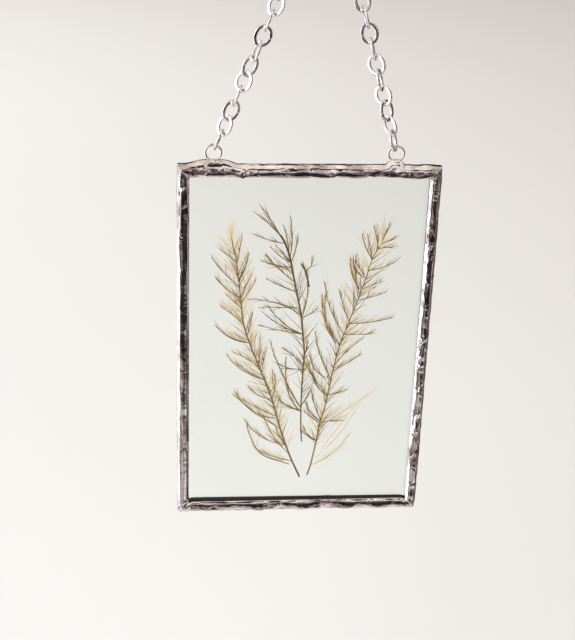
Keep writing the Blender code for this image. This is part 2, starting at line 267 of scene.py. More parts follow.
# The bead stands proud of its seat and of the edge of the glass. At the corners it is higher, is
# drawn in, and its sections fan out.
CROWN = 0.00066
EDGE_REACH = 0.00068
CORNER_CROWN = 0.00012
CORNER_DRAW = 0.00025
CORNER_FAN = 0.0052
CORNER_SIZE = 0.0042

# The heaps of solder under the rings: ring, half width, height and steepness. Their feet run a
# little way down round the corners.
HEAP_WRAP = 0.001
HEAP_HEIGHT = 0.0019
MOUNDS = (("ring_left", 0.0078, HEAP_HEIGHT, 3.4), ("ring_right", 0.0031, 0.0021, 5.0))
MOUND_ROUNDNESS = 0.95

# For the top, right, bottom and left side: how far in its crest lies, how round its outer edge
# is, how full its inner slope, and how strongly it is streaked along, lumpy and creased
SIDE_CREST = (0.0025, 0.0013, 0.0015, 0.0016)
SIDE_ROUNDNESS = (0.80, 0.72, 0.80, 0.42)
SIDE_FULLNESS = (3.2, 1.5, 2.6, 1.7)
SIDE_STREAKS = (1.3, 0.9, 1.3, 1.8)
SIDE_LUMPS = (1.3, 0.45, 1.9, 0.4)
SIDE_CREASES = (0.9, 1.8, 1.4, 0.3)

# How far the crest wanders, on a smooth side and more on a lumpy one, and where it strays from
# its line: side, share along it, shift inwards and half width
CREST_WANDER = 0.0004
LUMPY_WANDER = 0.0008
CREST_SHIFTS = (
    (TOP, 0.24, 0.0011, 0.0024), (TOP, 0.56, 0.0012, 0.0030), (TOP, 0.92, 0.0011, 0.0034),
    (BOTTOM, 0.89, -0.0007, 0.0024), (BOTTOM, 0.66, -0.0006, 0.0024),
    (BOTTOM, 0.37, 0.0009, 0.0034), (BOTTOM, 0.14, -0.0007, 0.0036),
)

# Relief of the skin: the most it may rise or sink, the width over which it starts at the inner
# edges, the length over which the noise joins up at the end of the run, and the height of each
# kind of it
RELIEF_LIMIT = 0.00046
RELIEF_FOOT = 0.0008
JOIN_LENGTH = 0.008
STREAK_HEIGHT = 0.00015
LUMP_HEIGHT = 0.00018
CREASE_HEIGHT = 0.00014
CREASE_WIDTH = 0.09
GRAIN_HEIGHT = 0.00003

# How much of the puddles a heap of solder smooths away, and how strong wrinkles are on a side
# without creases and how much stronger with them
HEAP_CALM = 0.5
WRINKLES_PLAIN = 0.2
WRINKLES_CREASED = 0.55

# Puddles lie in three rows: in the middle and this far from both inner edges
PUDDLE_INSET = 0.0019
PUDDLE_FIRST = 0.006
PUDDLE_VALLEY = -0.00025
PUDDLE_HALF_LENGTHS = (0.0036, 0.0092)
PUDDLE_HALF_WIDTHS = (0.0026, 0.0042)
PUDDLE_HEIGHTS = (0.00008, 0.00042)
PUDDLE_STRAY = 0.0009
PUDDLE_SLANT = 0.5
PUDDLE_FULLNESS = 1.4
PUDDLE_SPACING = (0.75, 1.3)

# Wrinkles lie in two rows, this far from the inner edges
WRINKLES = 110
WRINKLE_INSET = 0.0022
WRINKLE_STRAY = 0.001
WRINKLE_SLANT = 1.4
WRINKLE_BOW = 300
WRINKLE_WIDTHS = (0.00028, 0.0008)
WRINKLE_REACHES = (0.0010, 0.0026)
WRINKLE_HEIGHTS = (0.00012, 0.00034)

# Folds near the corners, each named by the side that begins there: corner, offset, slant, height
# and width
CORNER_FOLDS = (
    (RIGHT, -0.0034, -0.5, 0.00042, 0.0009), (RIGHT, 0.0026, 0.7, 0.00036, 0.0009),
    (BOTTOM, -0.0040, 0.6, 0.00040, 0.0009), (BOTTOM, 0.0036, -0.6, 0.00045, 0.0010),
    (LEFT, -0.0030, -0.3, 0.00040, 0.0007), (LEFT, -0.0008, 0.5, 0.00035, 0.0006),
    (LEFT, 0.0022, -0.6, 0.00040, 0.0007), (TOP, 0.0032, 0.4, 0.00030, 0.0010),
)

FOIL_GAP = 0.00005
FOIL_THICKNESS = 0.0001
FOIL_INSET = 0.00002

# The places round the edge, their inward directions, the distance run, how near a corner they
# are, which side they are on, how far the tape overlaps the front and the back there, and the
# whole distance round
Edge = namedtuple("Edge", "places inwards runs near sides fronts backs total")


def walk_edge():
    """Walk once round the edge of the glass and note what it is like at each place."""
    corners = np.array([
        (-HALF_WIDTH, HALF_HEIGHT), (HALF_WIDTH, HALF_HEIGHT),
        (HALF_WIDTH, -HALF_HEIGHT), (-HALF_WIDTH, -HALF_HEIGHT),
    ])
    stations = []
    run = 0.0
    for side in range(4):
        after = (side + 1) % 4
        start, end = corners[side], corners[after]
        length = np.linalg.norm(end - start)
        along = (end - start) / length
        inward = np.array([along[1], -along[0]])
        count = round(length / STATION_STEP)
        for k in range(count):
            step = length * k / count
            fan = max(0.0, 1 - step / CORNER_FAN) - max(0.0, 1 - (length - step) / CORNER_FAN)
            near = exp(-(min(step, length - step) / CORNER_SIZE) ** 2)
            low = 1 - near if side == BOTTOM else 0.0
            change = (BACK_OVERLAPS[after] - BACK_OVERLAPS[side]) * step / length
            back = BACK_OVERLAPS[side] + change + LOW_EXTRA_BACK * low
            stations.append((start + along * step, inward + along * fan, run + step, [near],
                             side, [OVERLAP + LOW_EXTRA * low], [back]))
        run += length
    return Edge(*map(np.array, zip(*stations)), run)


def side_starts():
    """The run at which each side starts, and at which the last one ends."""
    return np.cumsum([0, 2 * HALF_WIDTH, 2 * HALF_HEIGHT, 2 * HALF_WIDTH, 2 * HALF_HEIGHT])


def side_trait(values, edge):
    """A trait with a value for each side, evened out towards the corners."""
    return np.array(values)[edge.sides][:, None] * (1 - edge.near) + np.mean(values) * edge.near


def shorter_way(gap, total):
    """A gap along the run, taken the shorter way round."""
    return (gap + total / 2) % total - total / 2


def skin_noise(edge, across, length, width, seed):
    """Noise over the skin of the solder, joined up where the run ends."""
    made = np.empty((len(edge.runs), len(across)))
    for i, run in enumerate(edge.runs):
        share = max(0.0, (run - edge.total + JOIN_LENGTH) / JOIN_LENGTH)
        for j, way in enumerate(across):
            made[i, j] = noise.noise(Vector((run / length, way / width, seed)))
            if share:
                before = noise.noise(Vector(((run - edge.total) / length, way / width, seed)))
                made[i, j] += (before - made[i, j]) * share
    return made


def puddles(edge, across, random):
    """Overlapping domes left by puddles of solder, with sharp valleys where they meet."""
    swell = np.full((len(edge.runs), len(across)), PUDDLE_VALLEY)
    for row in (PUDDLE_INSET, across[-1] / 2, across[-1] - PUDDLE_INSET):
        centre = random.uniform(0, PUDDLE_FIRST)
        while centre < edge.total:
            half = random.uniform(*PUDDLE_HALF_LENGTHS)
            reach = random.uniform(*PUDDLE_HALF_WIDTHS)
            top = random.uniform(*PUDDLE_HEIGHTS)
            level = row + random.uniform(-PUDDLE_STRAY, PUDDLE_STRAY)
            slant = random.uniform(-PUDDLE_SLANT, PUDDLE_SLANT)
            aside = across[None, :] - level
            gap = shorter_way(edge.runs[:, None] - centre - slant * aside, edge.total)
            dome = top * (PUDDLE_FULLNESS - (gap / half) ** 2 - (aside / reach) ** 2)
            swell = np.maximum(swell, dome)
            centre += half * random.uniform(*PUDDLE_SPACING)
    return swell


def wrinkles(edge, across, random):
    """Short ridges that cross the bead at a slant, where it was touched again with the iron."""
    lift = np.zeros((len(edge.runs), len(across)))
    for _ in range(WRINKLES):
        centre = random.uniform(0, edge.total)
        row = random.choice((WRINKLE_INSET, across[-1] - WRINKLE_INSET))
        level = row + random.uniform(-WRINKLE_STRAY, WRINKLE_STRAY)
        slant = random.uniform(-WRINKLE_SLANT, WRINKLE_SLANT)
        bow = random.uniform(-WRINKLE_BOW, WRINKLE_BOW)
        width = random.uniform(*WRINKLE_WIDTHS)
        reach = random.uniform(*WRINKLE_REACHES)
        height = random.uniform(*WRINKLE_HEIGHTS)
        aside = across[None, :] - level
        gap = edge.runs[:, None] - centre - slant * aside - bow * aside ** 2
        gap = shorter_way(gap, edge.total)
        lift = np.maximum(lift, height * np.exp(-(gap / width) ** 2 - (aside / reach) ** 4))
    return lift


def corner_folds(edge, across):
    """Folds that run over the bead near its corners, where two runs of solder met."""
    corner_runs = side_starts()
    lift = np.zeros((len(edge.runs), len(across)))
    for corner, offset, slant, height, width in CORNER_FOLDS:
        centre = corner_runs[corner] + offset
        gap = edge.runs[:, None] - centre - slant * (across[None, :] - OVERLAP)
        gap = shorter_way(gap, edge.total)
        lift = np.maximum(lift, height * np.exp(-np.abs(gap / width) ** 1.5))
    return lift


def crest_shifts(edge):
    """How far inwards the crest strays at each place of the run."""
    starts = side_starts()
    shift = np.zeros(len(edge.runs))
    for side, share, inwards, half in CREST_SHIFTS:
        centre = starts[side] + share * (starts[side + 1] - starts[side])
        shift += inwards * np.exp(-((edge.runs - centre) / half) ** 2)
    return shift[:, None]


def heaps(edge):
    """How high the solder is heaped under the rings, at each place of the top bar."""
    heap = np.zeros(len(edge.runs))
    on_top = edge.places[:, 1] > HALF_HEIGHT - HEAP_WRAP
    for ring, half, height, steepness in MOUNDS:
        low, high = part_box(ring)
        x = (low.x + high.x) / 2 - MIDDLE.x
        rise = height * np.exp(-np.abs((edge.places[:, 0] - x) / half) ** steepness)
        heap = np.maximum(heap, np.where(on_top, rise, 0.0))
    return heap[:, None]


def share_heaped(heap):
    """From 0, where no solder is heaped, to 1 at the top of a heap."""
    return np.clip(heap / HEAP_HEIGHT, 0, 1)


def bead_section(heap, near, crest, roundness, fullness, front, back):
    """The plain section of the bead: inward offsets and depths, front inner edge first."""
    reach = EDGE_REACH + heap - CORNER_DRAW * near
    power = roundness + (MOUND_ROUNDNESS - roundness) * share_heaped(heap)
    crown = CROWN + CORNER_CROWN * near
    slope = np.linspace(1, 0, INNER_STEPS, endpoint=False)[None, :]
    turn = np.linspace(0, pi / 2, OUTER_STEPS + 1)[None, :]
    outer_a = crest - (crest + reach) * np.sin(turn) ** power
    front_a = np.concatenate([crest + (front - crest) * slope, outer_a], axis=1)
    back_a = np.concatenate([crest + (back - crest) * slope, outer_a], axis=1)
    inner_y = SEAT + crown * (1 - slope ** fullness)
    outer_y = (SEAT + crown) * np.cos(turn).clip(0, 1) ** power
    y = np.concatenate([inner_y, outer_y], axis=1)
    y[:, -1] = 0.0
    return (np.concatenate([front_a, back_a[:, -2::-1]], axis=1),
            np.concatenate([-y, y[:, -2::-1]], axis=1))


def way_across():
    """The way across the skin of a plain section, from its first point to each of them."""
    none = np.zeros((1, 1))
    a, y = bead_section(none, none, SIDE_CREST[TOP], SIDE_ROUNDNESS[TOP], SIDE_FULLNESS[TOP],
                        OVERLAP, OVERLAP)
    return np.concatenate([[0.0], np.cumsum(np.hypot(np.diff(a[0]), np.diff(y[0])))])


def skin_relief(edge, across, heaped):
    """How far the skin rises from the plain bead or sinks below it."""
    random = Random(4)
    streaked, lumpy, creased = (
        side_trait(values, edge) for values in (SIDE_STREAKS, SIDE_LUMPS, SIDE_CREASES)
    )
    streaks = skin_noise(edge, across, length=0.013, width=0.0012, seed=1.3)
    lumps = skin_noise(edge, across, length=0.0034, width=0.0026, seed=4.1)
    grain = skin_noise(edge, across, length=0.0011, width=0.0008, seed=9.2)
    folds = skin_noise(edge, across, length=0.0065, width=0.0021, seed=6.4)
    creases = np.exp(-(folds / CREASE_WIDTH) ** 2)
    rise = puddles(edge, across, random) * (1 - HEAP_CALM * heaped)
    wrinkled = WRINKLES_PLAIN + WRINKLES_CREASED * creased
    rise += wrinkles(edge, across, random) * wrinkled * (1 - heaped)
    rise += corner_folds(edge, across)
    rise += STREAK_HEIGHT * streaked * streaks + CREASE_HEIGHT * creased * creases
    rise += LUMP_HEIGHT * lumpy * lumps * (1 + edge.near)
    rise += GRAIN_HEIGHT * lumpy * grain * (1 + 2 * edge.near)
    return RELIEF_LIMIT * np.tanh(rise / RELIEF_LIMIT)


def place_sections(edge, a, y):
    """Points of the sections that stand at the places round the edge."""
    x = MIDDLE.x + edge.places[:, :1] + edge.inwards[:, :1] * a
    z = MIDDLE.z + edge.places[:, 1:] + edge.inwards[:, 1:] * a
    return np.stack([x, y, z], axis=2).reshape(-1, 3)


def make_foil(material):
    """The tape folded over the edge of the glass, thin and under the solder."""
    edge = walk_edge()
    near, far = FOIL_GAP, FOIL_GAP + FOIL_THICKNESS
    outside = np.ones_like(edge.fronts)
    a = np.concatenate([edge.fronts, -far * outside, -far * outside, edge.backs, edge.backs,
                        -near * outside, -near * outside, edge.fronts], axis=1) - FOIL_INSET
    y = np.array([-far, -far, far, far, near, near, -near, -near])
    y = np.tile(y + np.sign(y) * STACK_HALF, (len(a), 1))
    points = place_sections(edge, a, y)
    foil = mesh_object("folded_tape", points, loop_faces(*a.shape), material, smooth=False)
    dress(foil, "frame", "foil", "foil_tape")


def make_solder(material):
    """The bead of solder: plain sections round the edge, moved out by the relief of the skin."""
    edge = walk_edge()
    heap = heaps(edge)
    heaped = share_heaped(heap)
    wander = skin_noise(edge, [0.0], length=0.009, width=0.001, seed=7.7) * (1 - heaped)
    wander *= CREST_WANDER + LUMPY_WANDER * side_trait(SIDE_LUMPS, edge)
    crest = side_trait(SIDE_CREST, edge) + wander + crest_shifts(edge)
    a, y = bead_section(heap, edge.near, crest, side_trait(SIDE_ROUNDNESS, edge),
                        side_trait(SIDE_FULLNESS, edge), edge.fronts, edge.backs)
    across = way_across()
    foot = np.clip(np.minimum(across, across[-1] - across) / RELIEF_FOOT, 0, 1)[None, :]
    da, dy = np.gradient(a, axis=1), np.gradient(y, axis=1)
    lift = skin_relief(edge, across, heaped) * foot / np.hypot(da, dy)
    under_a = np.tile([-EDGE_SEAT, -EDGE_SEAT], (len(a), 1))
    under_y = np.tile([SEAT, -SEAT], (len(y), 1))
    a = np.concatenate([a - dy * lift, under_a], axis=1)
    y = np.concatenate([y + da * lift, under_y], axis=1)
    points = place_sections(edge, a, y)
    solder = mesh_object("solder_bead", points, loop_faces(*a.shape), material)
    dress(solder, "frame", "solder", "solder_edge")


# Rings and chain
RING_STEPS = 72
RING_SIDES = 20
RING_WIRE_RADIUS = 0.00045
LINK_STEPS = 56
LINK_SIDES = 16
LINK_WIRE_WIDTH = 0.0013
LINK_SQUARENESS = 0.55

# The seam where the ends of a link's wire meet: its place in the turn, its half width, the
# extra sections there, in radians, and how deep it pinches the wire
SEAM = pi / 2
SEAM_HALF_WIDTH = 0.025
SEAM_SECTIONS = (-0.06, -0.03, 0.03, 0.06)
SEAM_DEPTH = 0.3


def make_rings(material):
    """Jump rings of round wire, in the places of the solids."""
    for side in ("left", "right"):
        low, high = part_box(f"ring_{side}")
        centre = (low + high) / 2
        radius = (high.x - low.x) / 2 - RING_WIRE_RADIUS
        points = []
        for k in range(RING_STEPS):
            turn = 2 * pi * k / RING_STEPS
            out = Vector((cos(turn), 0, sin(turn)))
            for j in range(RING_SIDES):
                roll = 2 * pi * j / RING_SIDES
                points.append(centre + out * (radius + RING_WIRE_RADIUS * cos(roll))
                              + Vector((0, RING_WIRE_RADIUS * sin(roll), 0)))
        faces = loop_faces(RING_STEPS, RING_SIDES)
        ring = mesh_object(f"jump_ring_{side}", points, faces, material)
        dress(ring, "frame", "ring", f"ring_{side}")


def squared(turn, power):
    """A circle pushed out towards a square: the cosine and sine of a rounded corner."""
    c, s = cos(turn), sin(turn)
    return (abs(c) ** power * (1 if c > 0 else -1), abs(s) ** power * (1 if s > 0 else -1))


def link_points(length, width, thickness):
    """An oval of flattened wire in its own XY plane, with the seam where its ends meet."""
    half_length = (length - LINK_WIRE_WIDTH) / 2
    half_width = (width - LINK_WIRE_WIDTH) / 2
    turns = [2 * pi * k / LINK_STEPS for k in range(LINK_STEPS)]
    turns = sorted(turns + [SEAM + shift for shift in SEAM_SECTIONS])
    points = []
    for turn in turns:
        spine = Vector((half_length * cos(turn), half_width * sin(turn), 0))
        out = Vector((cos(turn) / half_length, sin(turn) / half_width, 0)).normalized()
        pinch = 1 - SEAM_DEPTH * exp(-((turn - SEAM) / SEAM_HALF_WIDTH) ** 2)
        for j in range(LINK_SIDES):
            a, b = squared(2 * pi * j / LINK_SIDES, LINK_SQUARENESS)
            points.append(spine + out * a * pinch * LINK_WIRE_WIDTH / 2
                          + Vector((0, 0, b * pinch * thickness / 2)))
    return points, loop_faces(len(turns), LINK_SIDES)


def link_axes(node):
    """Centre, axes and extents of a link's solid, longest axis first."""
    points = np.array([tuple(v.co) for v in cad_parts[node].data.vertices])
    centre = (points.min(axis=0) + points.max(axis=0)) / 2
    _, axes = np.linalg.eigh(np.cov((points - centre).T))
    axes = axes[:, ::-1]
    spread = (points - centre) @ axes
    extents = spread.max(axis=0) - spread.min(axis=0)
    if np.linalg.det(axes) < 0:
        axes[:, 2] = -axes[:, 2]
    return Vector(centre), axes, extents


def make_chain(material):
    """A link in the place of each solid, every other one with its seam on the other side."""
    nodes = [name for name in sorted(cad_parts) if name.startswith("chain_")]
    _, _, extents = link_axes(nodes[0])
    points, faces = link_points(*extents)
    for count, node in enumerate(nodes):
        centre, axes, _ = link_axes(node)
        turned = Matrix(axes.tolist()) @ Matrix.Rotation(pi * (count % 2), 3, "Z")
        placed = [centre + turned @ point for point in points]
        link = mesh_object(node.replace("chain_", "link_"), placed, faces, material)
        dress(link, "chain", "chain", node)


# Sprigs. Stems and shoots are the ones of the solids, with the finer shoots between them. A
# stem is given by points from its foot up.
LEFT_STEM = (
    (0.5, -61.4), (-3.9, -51.4), (-8.4, -38.2), (-12.4, -24), (-17.9, -9.4), (-22.4, 2.2),
    (-25.1, 11.6), (-26, 19.9), (-27, 27.7), (-28.2, 37.5), (-29.9, 45.1), (-30.8, 53.9),
)
MIDDLE_STEM = (
    (0.8, -44.4), (0.2, -36.5), (0, -28.9), (0, -20), (0.2, -9.4), (0.5, -3.4), (-0.3, 3.8),
    (-1.1, 11.8), (-2.3, 18), (-4.3, 26.7), (-5.7, 33.6), (-7, 39.2), (-8.9, 44.7),
    (-11.6, 49.3), (-15.3, 53.9), (-18.1, 58),
)
RIGHT_STEM = (
    (3.8, -60.8), (5.3, -55), (7.1, -44.4), (8.2, -36.1), (10.1, -28.1), (11.6, -18.7),
    (13.1, -9.1), (15.1, 0.5), (17.9, 9.5), (21.1, 19.2), (24.4, 30.4), (26.3, 38.3),
    (28.5, 42.5), (29.9, 46.4), (30.2, 58.1),
)

# Each shoot: how far up the stem, its length, and its lean from the stem at foot and tip in
# degrees, positive to the left
LEFT_SHOOTS = (
    (0.07, 15, 54, 37), (0.10, 23, 23, -1), (0.13, 11, 14, 0), (0.14, 23, 63, 8),
    (0.21, 27, 42, 26), (0.26, 17, 54, 37), (0.33, 12, 66, 14), (0.41, 14, 45, 25),
    (0.41, 20, 53, 11), (0.46, 13, 24, 49), (0.56, 17, 68, 10), (0.56, 13, 61, 32),
    (0.63, 13, 30, 44), (0.68, 8, 80, 53), (0.69, 9, 39, 45), (0.73, 14, 57, 26),
    (0.77, 17, 44, 25), (0.82, 6, 59, 59), (0.86, 9, 44, 44),
    (0.33, 12, -38, -8), (0.44, 12, -29, -32), (0.47, 13, -28, -17), (0.59, 10, -41, -15),
    (0.71, 12, -38, -32), (0.73, 12, -29, -30), (0.79, 13, -35, -12), (0.85, 12, -18, -17),
)
MIDDLE_SHOOTS = (
    (0.14, 25, 75, 9), (0.15, 35, 31, 16), (0.16, 10, -33, -19), (0.32, 12, 95, 58),
    (0.33, 13, 35, 64), (0.38, 7, -21, -1), (0.47, 19, 76, 68), (0.47, 20, 70, 38),
    (0.47, 20, 63, 24), (0.54, 8, -81, -50), (0.54, 25, -29, 14), (0.55, 24, 43, 81),
    (0.58, 17, 74, 79), (0.65, 14, 60, 45), (0.69, 17, 42, 26), (0.75, 13, 75, 55),
    (0.77, 10, 28, 28), (0.77, 11, 54, 23), (0.79, 18, -26, 0), (0.77, 13, -34, -13),
    (0.80, 13, -13, 5), (0.85, 13, 57, 36), (0.87, 16, 7, 24), (0.90, 14, -7, 2),
)
RIGHT_SHOOTS = (
    (0.04, 23, -57, -10), (0.14, 9, 70, 29), (0.21, 10, -66, -81), (0.22, 15, 40, 23),
    (0.21, 9, 75, 53), (0.19, 29, -46, -46), (0.32, 21, 52, 32), (0.32, 8, -75, -60),
    (0.38, 23, 40, 15), (0.41, 14, -51, -44), (0.43, 17, -22, -42), (0.51, 26, 60, 0),
    (0.55, 25, 54, 24), (0.55, 13, -77, -63), (0.59, 19, -70, -58), (0.60, 15, 44, 31),
    (0.65, 10, 58, 41), (0.68, 12, -63, -49), (0.72, 9, -50, -51), (0.70, 18, 40, 9),
    (0.76, 9, 49, 44), (0.79, 13, -74, -37), (0.83, 12, 52, 27), (0.83, 11, 30, 29),
    (0.87, 6, -44, -72), (0.89, 6, -50, -55), (0.87, 10, 36, 47), (0.90, 8, -11, -12),
)


class Strands:
    """Tapering flattened strands gathered in one mesh, each vertex with its tone."""

    SIDES = 6

    def __init__(self):
        self.points = []
        self.faces = []
        self.tones = []

    def add(self, path, foot, tip, depth, tones, flatness=0.55):
        """Add a strand along a path, from its foot's width to its tip's, in millimetres."""
        first = len(self.points)
        last = len(path) - 1
        for k, point in enumerate(path):
            ahead = path[min(k + 1, last)] - path[max(k - 1, 0)]
            side = Vector((-ahead.y, ahead.x)).normalized()
            share = k / last
            width = foot + (tip - foot) * share
            for j in range(self.SIDES):
                turn = 2 * pi * j / self.SIDES
                spot = point + side * (width / 2 * cos(turn))
                level = depth + width / 2 * flatness * sin(turn)
                self.points.append((MIDDLE.x + spot.x * MM, level * MM, MIDDLE.z + spot.y * MM))
                self.tones.append(tones[0] + (tones[1] - tones[0]) * share)
        for k in range(last):
            row = first + k * self.SIDES
            for j in range(self.SIDES):
                after = (j + 1) % self.SIDES
                self.faces.append((row + j, row + after, row + self.SIDES + after,
                                   row + self.SIDES + j))
        self.faces.append(tuple(first + j for j in reversed(range(self.SIDES))))
        top = first + last * self.SIDES
        self.faces.append(tuple(top + j for j in range(self.SIDES)))

    def build(self, name, material):
        """Make the object of all strands, whose points carry their tones."""
        made = mesh_object(name, self.points, self.faces, material)
        attribute = made.data.attributes.new("tone", "FLOAT", "POINT")
        attribute.data.foreach_set("value", self.tones)
        return made


def smooth_path(points, samples):
    """Run a smooth curve through the points, with the given samples to each span."""
    points = [Vector(p) for p in points]
    padded = [2 * points[0] - points[1], *points, 2 * points[-1] - points[-2]]
    path = []
    for k in range(len(points) - 1):
        a, b, c, d = padded[k:k + 4]
        for j in range(samples):
            t = j / samples
            path.append(0.5 * (
                2 * b + (c - a) * t + (2 * a - 5 * b + 4 * c - d) * t ** 2
                + (3 * b - a - 3 * c + d) * t ** 3
            ))
    return path + [points[-1]]


def along_path(path, share):
    """The point and the heading at a share of the path's length."""
    lengths = [(b - a).length for a, b in zip(path, path[1:])]
    left = share * sum(lengths)
    for a, b, length in zip(path, path[1:], lengths):
        if left <= length:
            return a.lerp(b, left / length), atan2(b.y - a.y, b.x - a.x)
        left -= length
    return path[-1], atan2(path[-1].y - path[-2].y, path[-1].x - path[-2].x)


def walk(start, heading, foot_lean, tip_lean, length, steps):
    """A path that sets out from start and turns evenly from one lean to the other."""
    path = [Vector(start)]
    for k in range(steps):
        share = (k + 0.5) / steps
        turn = heading + radians(foot_lean + (tip_lean - foot_lean) * share)
        path.append(path[-1] + Vector((cos(turn), sin(turn))) * length / steps)
    return path


# How every sprig is drawn. Widths, depths and lengths are in millimetres, bends and leans in
# degrees. A flatness is a strand's thickness and a taper its tip's width, as shares of its own
# width. An arc's needles are those of a shoot at ARC_SHARE of the stem.
STEM_SAMPLES = 5
STEM_FLATNESS = 0.6
PALE_STEM_WIDTHS = (0.3, 0.14)
SHOOT_STEPS = 10
SHOOT_TIP_WIDTH = 0.2
SHOOT_DEPTHS = (0.03, 0.09)
ARC_SAMPLES = 4
ARC_DEPTH = 0.06
ARC_SHARE = 0.4
ARC_TAPER = 0.6
ARC_PALING = 0.08
FLECK_STEPS = 4
FLECK_BEND = 8
FLECK_FOOT = 0.5
FLECK_TIP = 0.4
FLECK_FLATNESS = 0.5
NEEDLE_STEPS = 5
NEEDLE_TAPER = 0.35
NEEDLE_BEND = 16
NEEDLE_STRAY = 20
NEEDLE_WIDTHS = (0.8, 1.2)
NEEDLE_TONE_SPREAD = 0.1
NEEDLE_DEPTH_SPREAD = 0.03

# Needles stand along this stretch of a shoot. At the top of a sprig they turn upwards more than
# at its foot.
NEEDLES_FROM = 0.06
NEEDLES_ALONG = 0.9
LIFT_AT_FOOT = 0.25
LIFT_GROWTH = 0.85

STEM_NEEDLES_FROM = 0.12
STEM_NEEDLE_LEANS = (12, 48)
PLUME_LEAN = 17
PLUME_LENGTHS = (5, 9)


def make_sprig(name, stem_points, shoots, habit, depth, material):
    """Grow a sprig: its stem, its shoots, and along them fine dark and cream needles."""
    random = Random(habit["seed"])
    cream, olive = habit["cream"], habit["olive"]
    strands = Strands()
    stem = smooth_path(stem_points, STEM_SAMPLES)
    turning = round(len(stem) * habit["pale_from"])
    strands.add(stem[:turning], *habit["stem"], depth, habit["stem_tones"], STEM_FLATNESS)
    strands.add(stem[turning - 1:], *PALE_STEM_WIDTHS, depth, habit["tip_tones"], STEM_FLATNESS)

    def either_way(most):
        """A random number at most this far from 0."""
        return random.uniform(-most, most)

    def needle(point, heading, length, kind):
        """Add a slightly bent needle of one of the two kinds."""
        width = kind["width"]
        tones = [tone + either_way(NEEDLE_TONE_SPREAD) for tone in kind["tones"]]
        path = walk(point, heading, 0, either_way(NEEDLE_BEND), length, NEEDLE_STEPS)
        strands.add(path, width * random.uniform(*NEEDLE_WIDTHS), width * NEEDLE_TAPER,
                    depth + kind["level"] + either_way(NEEDLE_DEPTH_SPREAD), tones)

    def feather(path, share, rise, kind):
        """Set needles along a shoot, turned from it towards the way the stem rises, most so
        near the top of the sprig."""
        count = round(sum((b - a).length for a, b in zip(path, path[1:])) / kind["gap"])
        for k in range(count):
            spot = NEEDLES_FROM + NEEDLES_ALONG * (k + random.random()) / count
            start, bearing = along_path(path, spot)
            lift = random.uniform(*habit["lift"]) * (LIFT_AT_FOOT + LIFT_GROWTH * share)
            heading = bearing + (rise - bearing) * lift + radians(either_way(NEEDLE_STRAY))
            length = random.uniform(*kind["lengths"]) * (1 - habit["tapering"] * spot)
            needle(start, heading, length, kind)

    for share, length, foot_lean, tip_lean in shoots:
        point, heading = along_path(stem, share)
        path = walk(point, heading, foot_lean, tip_lean, length, SHOOT_STEPS)
        pale = (share, length) in habit["pale_shoots"]
        tones = habit["tip_tones"] if pale else habit["shoot_tones"]
        strands.add(path, habit["shoot"], SHOOT_TIP_WIDTH,
                    depth - random.uniform(*SHOOT_DEPTHS), tones)
        feather(path, share, heading, cream)
        if not pale:
            feather(path, share, heading, olive)
    for points, width, tone in habit["arcs"]:
        path = smooth_path(points, ARC_SAMPLES)
        tones = (tone, tone + ARC_PALING)
        strands.add(path, width, width * ARC_TAPER, depth - ARC_DEPTH, tones)
        feather(path, ARC_SHARE, pi / 2, olive)
        feather(path, ARC_SHARE, pi / 2, cream)
    for kind in (cream, olive):
        for _ in range(kind["on_stem"]):
            share = random.uniform(STEM_NEEDLES_FROM, habit["leafy_to"])
            start, bearing = along_path(stem, share)
            lean = random.uniform(*STEM_NEEDLE_LEANS) * random.choice((-1, 1))
            length = random.uniform(*kind["stem_lengths"])
            needle(start, bearing + radians(lean), length, kind)
    for count, lowest, highest in habit["plumes"]:
        for _ in range(count):
            start, bearing = along_path(stem, random.uniform(lowest, highest))
            lean = random.gauss(0, PLUME_LEAN)
            needle(start, bearing + radians(lean), random.uniform(*PLUME_LENGTHS), cream)
    for x, z, length, heading, width, tone in habit["flecks"]:
        path = walk((x, z), radians(heading), 0, FLECK_BEND, length, FLECK_STEPS)
        swell = len(path) // 2 + 1
        tones = (tone, tone)
        strands.add(path[:swell], width * FLECK_FOOT, width, depth, tones, FLECK_FLATNESS)
        strands.add(path[swell - 1:], width, width * FLECK_TIP, depth, tones, FLECK_FLATNESS)
    return strands.build(f"{name}_fern", material)


